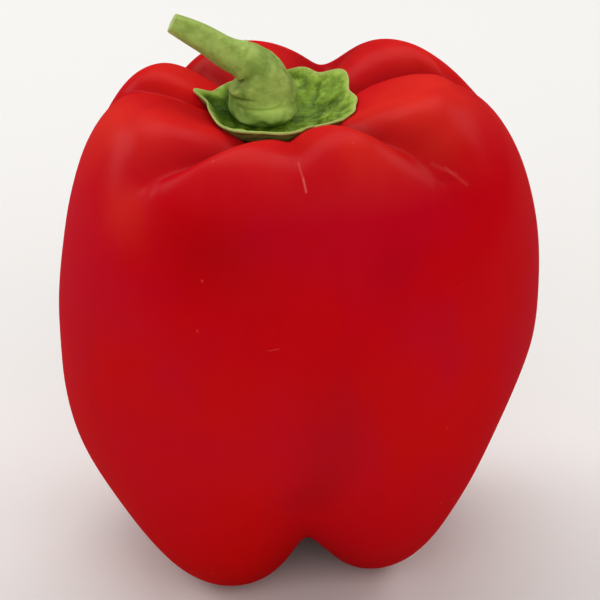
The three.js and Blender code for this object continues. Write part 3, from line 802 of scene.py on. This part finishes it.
def make_calyx(tree):
    """The green dish: crumpled on top, with painted shade by the stem, in its left hollow and underneath,
    painted light towards the rim, and pale at its dried rim.
    """
    def on_top(azimuth, along, points):
        near_rim = share_between(along / CALYX_TOP_END, *CALYX_RELIEF_FADES)
        return np.where(along < CALYX_TOP_END, mix(1, CALYX_RIM_RELIEF, near_rim), 0.0)

    def at_rim(azimuth, along, points):
        near_rim = share_between(along / CALYX_TOP_END, *RIM_PALES)
        few, many = RIM_UNEVEN_COUNTS
        waves = np.cos(few * azimuth + RIM_UNEVEN_TURN) * np.cos(many * azimuth)
        paleness = near_rim * (RIM_PALENESS + RIM_UNEVENNESS * waves)
        return np.where(along < CALYX_UNDERSIDE_START, paleness, UNDERSIDE_PALENESS)

    def painted_dish_shading(azimuth, along, points):
        # Painted shade by the stem, in the left hollow and underneath, and painted light towards the rim
        outwards = np.clip(along / CALYX_TOP_END, 0, 1)
        by_stem, near_rim, in_hollow = [
            row["painted_shading"] * rise(outwards, *row["comes_in"]) for row in (STEM_SHADE, RIM_GLOW, LEFT_HOLLOW_SHADE)]
        top = by_stem + near_rim + in_hollow * np.exp(-turn_share(azimuth, LEFT_HOLLOW_SHADE) ** 2)
        return np.where(along < UNDERSIDE_SHADE_START, top, UNDERSIDE_SHADE)

    masks = {"swells": on_top, "wrinkles": on_top, "pale_edge": at_rim, "painted_shading": painted_dish_shading}
    piece = closed_mesh("pepper_calyx", calyx_surface, CALYX_POINTS, masks)
    finish_surface(piece, tree, {**CALYX_RELIEF, "Material": green_stalk("grown_calyx", CALYX_GREEN)})
    return piece


def make_stem(tree):
    """The green stem: nearly smooth to the bend, crumpled below it, pale on its cut face, with a painted
    highlight on the bulge below the bend and painted shade at its foot.
    """
    def crumpled(azimuth, along, points):
        coming_in = np.maximum(share_between(along, *STEM_RELIEF_COMES_IN), STEM_LEAST_RELIEF)
        return coming_in * share_between(along, *STEM_RELIEF_GOES)

    def cut_face(azimuth, along, points):
        return CUT_FACE_PALENESS * share_between(along, STEM_CAP_SHARE + CUT_FACE_FADE, STEM_CAP_SHARE)

    def bulge_highlight_and_foot_shade(azimuth, along, points):
        # Painted highlight on the bulge and painted shade at the foot
        bulge = STEM_BULGE_HIGHLIGHT["painted_shading"] * soft_mark(azimuth, along, STEM_BULGE_HIGHLIGHT)
        return bulge + STEM_FOOT_SHADE * rise(along, *STEM_FOOT_COMES_IN)

    masks = {"swells": crumpled, "wrinkles": crumpled, "pale_edge": cut_face, "painted_shading": bulge_highlight_and_foot_shade}
    piece = closed_mesh("pepper_stem", stem_surface, STEM_POINTS, masks)
    finish_surface(piece, tree, {**STEM_RELIEF, "Material": green_stalk("grown_stem", STEM_GREEN)})
    return piece


def matt_paper():
    """Studio background paper, pressed: a pale matt sheet with hardly any sheen."""
    material, _, shader = new_material("matt_paper")
    shader.inputs["Base Color"].default_value = linear(FLOOR_COLOR)
    shader.inputs["Roughness"].default_value = 0.9
    shader.inputs["Specular IOR Level"].default_value = 0.1
    return material


def make_floor():
    half = FLOOR_HALF_SIZE
    mesh = bpy.data.meshes.new("floor")
    corners = [(-half, -half, 0), (half, -half, 0), (half, half, 0), (-half, half, 0)]
    mesh.from_pydata(corners, [], [(0, 1, 2, 3)])
    mesh.materials.append(matt_paper())
    floor = bpy.data.objects.new("floor", mesh)
    bpy.context.scene.collection.objects.link(floor)
    return floor


def make_camera():
    """Looks at the pepper from the front and above, as the photograph does."""
    elevation = math.radians(CAMERA_ELEVATION)
    back = Vector((0, -math.cos(elevation), math.sin(elevation)))
    data = bpy.data.cameras.new("camera")
    data.sensor_width = SENSOR_WIDTH
    data.lens = SENSOR_WIDTH * CAMERA_DISTANCE / (PHOTO_PIXELS * PIXEL_SIZE)
    camera = bpy.data.objects.new("camera", data)
    camera.location = CAMERA_TARGET + back * CAMERA_DISTANCE
    camera.rotation_euler = (-back).to_track_quat("-Z", "Y").to_euler()
    bpy.context.scene.collection.objects.link(camera)
    bpy.context.scene.camera = camera


def make_light(row):
    """One area light, aimed at the middle of the pepper."""
    data = bpy.data.lights.new(row["name"], "AREA")
    data.shape = "RECTANGLE"
    data.size, data.size_y = row["size"]
    data.energy = row["watts"]
    light = bpy.data.objects.new(row["name"], data)
    light.location = row["place"]
    light.rotation_euler = (LIGHTS_AIM - light.location).to_track_quat("-Z", "Y").to_euler()
    light.visible_glossy = row["mirrored"]
    bpy.context.scene.collection.objects.link(light)


def make_room():
    """The lights in a pale room, shown without a film look."""
    for row in LIGHTS:
        make_light(row)
    world = bpy.data.worlds.new("pale_room")
    world.use_nodes = True
    world.node_tree.nodes["Background"].inputs["Color"].default_value = linear(ROOM_COLOR)
    world.node_tree.nodes["Background"].inputs["Strength"].default_value = ROOM_STRENGTH
    bpy.context.scene.world = world
    bpy.context.scene.view_settings.view_transform = "Standard"


relief = relief_tree()
for make, node in ((make_fruit, "fruit"), (make_calyx, "calyx"), (make_stem, "stem")):
    made = make(relief)
    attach(made, "root")
    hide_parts(node)
make_floor()
make_camera()
make_room()
